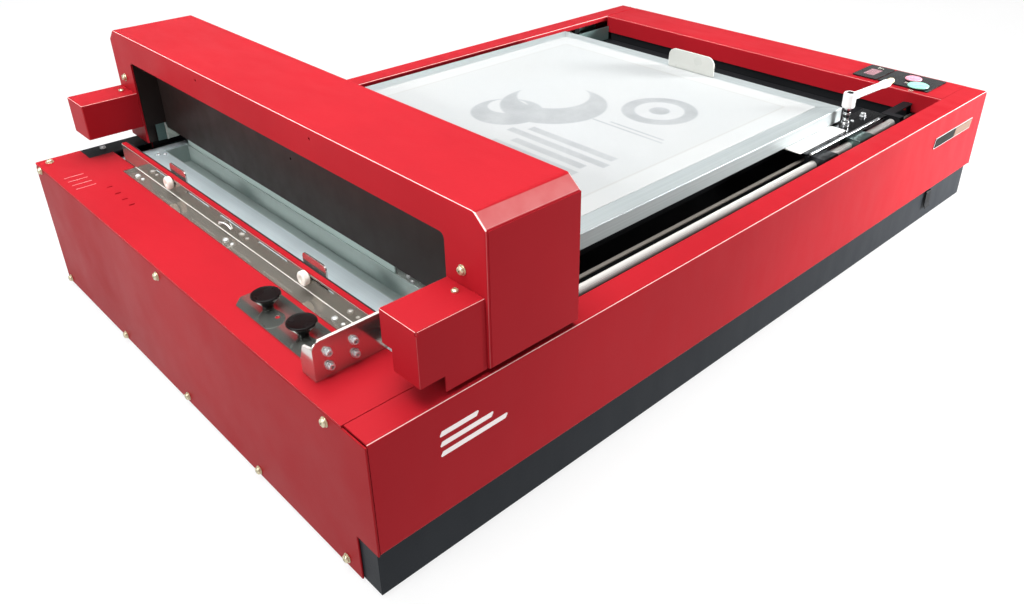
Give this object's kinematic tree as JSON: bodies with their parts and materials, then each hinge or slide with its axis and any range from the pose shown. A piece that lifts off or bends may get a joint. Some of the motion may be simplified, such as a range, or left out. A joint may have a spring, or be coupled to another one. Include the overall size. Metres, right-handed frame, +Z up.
{
  "type": "tabletop printing press",
  "caption": "Desk-sized screen maker: red sheet-metal housing with a travelling gantry and thermal head over a framed screen mesh, guide rods, screen clamp, side stops and push buttons.",
  "frame": {"origin": "on the floor under the middle of the housing, between the rubber feet", "axes": "+X along the long side from the parked gantry towards the control box, +Y from the operator side to the rear, +Z up"},
  "size_m": [1.12, 0.724, 0.3205],
  "materials": {
    "red_paint": "satin powder coat",
    "black_paint": "satin black paint",
    "plinth_paint": "matt charcoal paint",
    "foot_rubber": "matt",
    "panel_black": "gloss",
    "green_cap": "satin translucent",
    "pink_cap": "satin translucent",
    "polished_steel": "mirror polished",
    "ground_steel": "ground",
    "dark_steel": "blackened",
    "belt_rubber": "matt",
    "bright_aluminium": "satin",
    "head_glaze": "smooth",
    "white_plastic": "satin",
    "knob_black": "satin",
    "mesh_cloth": "fine woven screen mesh",
    "clear_plastic": "clear",
    "platen_white": "smooth",
    "white_paint": "satin",
    "inlet_black": "satin",
    "board_green": "solder resist"
  },
  "bodies": {
    "housing": {"plinth": "plinth_paint", "foot_front_left": "foot_rubber", "foot_front_right": "foot_rubber", "foot_rear_left": "foot_rubber", "foot_rear_right": "foot_rubber", "deck": "black_paint", "front_cover": "red_paint", "rear_cover": "red_paint", "left_end_panel": "red_paint", "right_end_panel": "red_paint", "left_top_cover": "red_paint", "right_top_cover": "red_paint", "button_panel": "panel_black", "display_bezel": "panel_black", "guide_rod_front": "ground_steel", "guide_rod_rear": "ground_steel", "rod_mount_left": "dark_steel", "rod_mount_right": "dark_steel", "drive_belt": "belt_rubber", "drive_motor": "dark_steel", "stop_channel": "polished_steel", "channel_end_plate": "polished_steel", "adjuster_plate": "polished_steel", "feed_sheet": "bright_aluminium", "parking_trough": "dark_steel", "trough_back_wall": "ground_steel", "platen": "platen_white", "power_inlet": "inlet_black", "power_supply": "bright_aluminium", "control_board": "board_green"},
    "gantry": {"gantry_hood": "red_paint", "gantry_side_front": "red_paint", "gantry_side_rear": "red_paint", "gantry_inner_panel": "panel_black", "gantry_beam": "bright_aluminium", "carriage_front": "dark_steel", "carriage_rear": "dark_steel", "leg_box_front": "red_paint", "leg_box_rear": "red_paint"},
    "print_head": {"head_carrier": "bright_aluminium", "thermal_head": "head_glaze"},
    "drive_wheel": {"drive_pulley": "bright_aluminium"},
    "idler_wheel": {"idler_pulley": "bright_aluminium"},
    "stop_front": {"stop_tab_front": "polished_steel"},
    "stop_rear": {"stop_tab_rear": "polished_steel"},
    "stop_screw_front": {"thumb_knob_front": "white_plastic"},
    "stop_screw_rear": {"thumb_knob_rear": "white_plastic"},
    "adjuster_1": {"adjuster_knob_1": "knob_black"},
    "adjuster_2": {"adjuster_knob_2": "knob_black"},
    "screen": {"screen_frame": "bright_aluminium", "screen_mesh": "mesh_cloth", "grip_tab": "clear_plastic"},
    "clamp": {"clamp_plate": "dark_steel", "clamp_jaw": "white_paint", "clamp_slider": "dark_steel", "lever_post": "ground_steel"},
    "lever": {"clamp_lever": "white_paint"},
    "start_key": {"start_button": "green_cap"},
    "stop_key": {"stop_button": "pink_cap"},
    "power_key": {"power_rocker": "inlet_black"}
  },
  "joints": [
    {"name": "gantry_travel", "type": "slide", "parent": "housing", "child": "gantry", "axis": [1, 0, 0], "range_m": [0, 0.53]},
    {"name": "head_press", "type": "slide", "parent": "gantry", "child": "print_head", "axis": [0, 0, -1], "range_m": [0, 0.0045], "stiffness_N_per_m": 1500, "springref_m": -0.015},
    {"name": "drive_pulley_spin", "type": "hinge", "parent": "housing", "child": "drive_wheel", "pos_m": [0.5, -0.2845, 0.145], "axis": [0, 1, 0], "range_deg": [-10, 3000]},
    {"name": "idler_pulley_spin", "type": "hinge", "parent": "housing", "child": "idler_wheel", "pos_m": [-0.535, -0.2845, 0.145], "axis": [0, 1, 0], "range_deg": [-10, 3000]},
    {"name": "front_stop_slide", "type": "slide", "parent": "housing", "child": "stop_front", "axis": [0, 1, 0], "range_m": [-0.04, 0.01]},
    {"name": "rear_stop_slide", "type": "slide", "parent": "housing", "child": "stop_rear", "axis": [0, 1, 0], "range_m": [-0.008, 0.044]},
    {"name": "front_stop_screw", "type": "hinge", "parent": "stop_front", "child": "stop_screw_front", "pos_m": [-0.475, -0.145, 0.19125], "axis": [-1, 0, 0], "range_deg": [0, 360]},
    {"name": "rear_stop_screw", "type": "hinge", "parent": "stop_rear", "child": "stop_screw_rear", "pos_m": [-0.475, 0.148, 0.19125], "axis": [-1, 0, 0], "range_deg": [0, 360]},
    {"name": "adjuster_1_turn", "type": "hinge", "parent": "housing", "child": "adjuster_1", "pos_m": [-0.5174, -0.144, 0.189], "axis": [0, 0, 1], "range_deg": [-135, 135]},
    {"name": "adjuster_2_turn", "type": "hinge", "parent": "housing", "child": "adjuster_2", "pos_m": [-0.5174, -0.206, 0.189], "axis": [0, 0, 1], "range_deg": [-135, 135]},
    {"name": "screen_lift", "type": "slide", "parent": "housing", "child": "screen", "axis": [0, 0, -1], "range_m": [-0.06, 0]},
    {"name": "clamp_travel", "type": "slide", "parent": "housing", "child": "clamp", "axis": [1, 0, 0], "range_m": [0, 0.06]},
    {"name": "lever_turn", "type": "hinge", "parent": "clamp", "child": "lever", "pos_m": [0.288, -0.279, 0.204], "axis": [0, 0, 1], "range_deg": [-60, 100]},
    {"name": "start_press", "type": "slide", "parent": "housing", "child": "start_key", "axis": [0, 0, -1], "range_m": [0, 0.001], "stiffness_N_per_m": 500, "springref_m": -0.003},
    {"name": "stop_press", "type": "slide", "parent": "housing", "child": "stop_key", "axis": [0, 0, -1], "range_m": [0, 0.001], "stiffness_N_per_m": 500, "springref_m": -0.003},
    {"name": "power_rock", "type": "hinge", "parent": "housing", "child": "power_key", "pos_m": [0.469, 0.3515, 0.099], "axis": [1, 0, 0], "range_deg": [0, 12]}
  ],
  "couplings": [
    {"joint": "drive_pulley_spin", "follows": "gantry_travel", "rad_per_m": 98},
    {"joint": "idler_pulley_spin", "follows": "gantry_travel", "rad_per_m": 98}
  ]
}
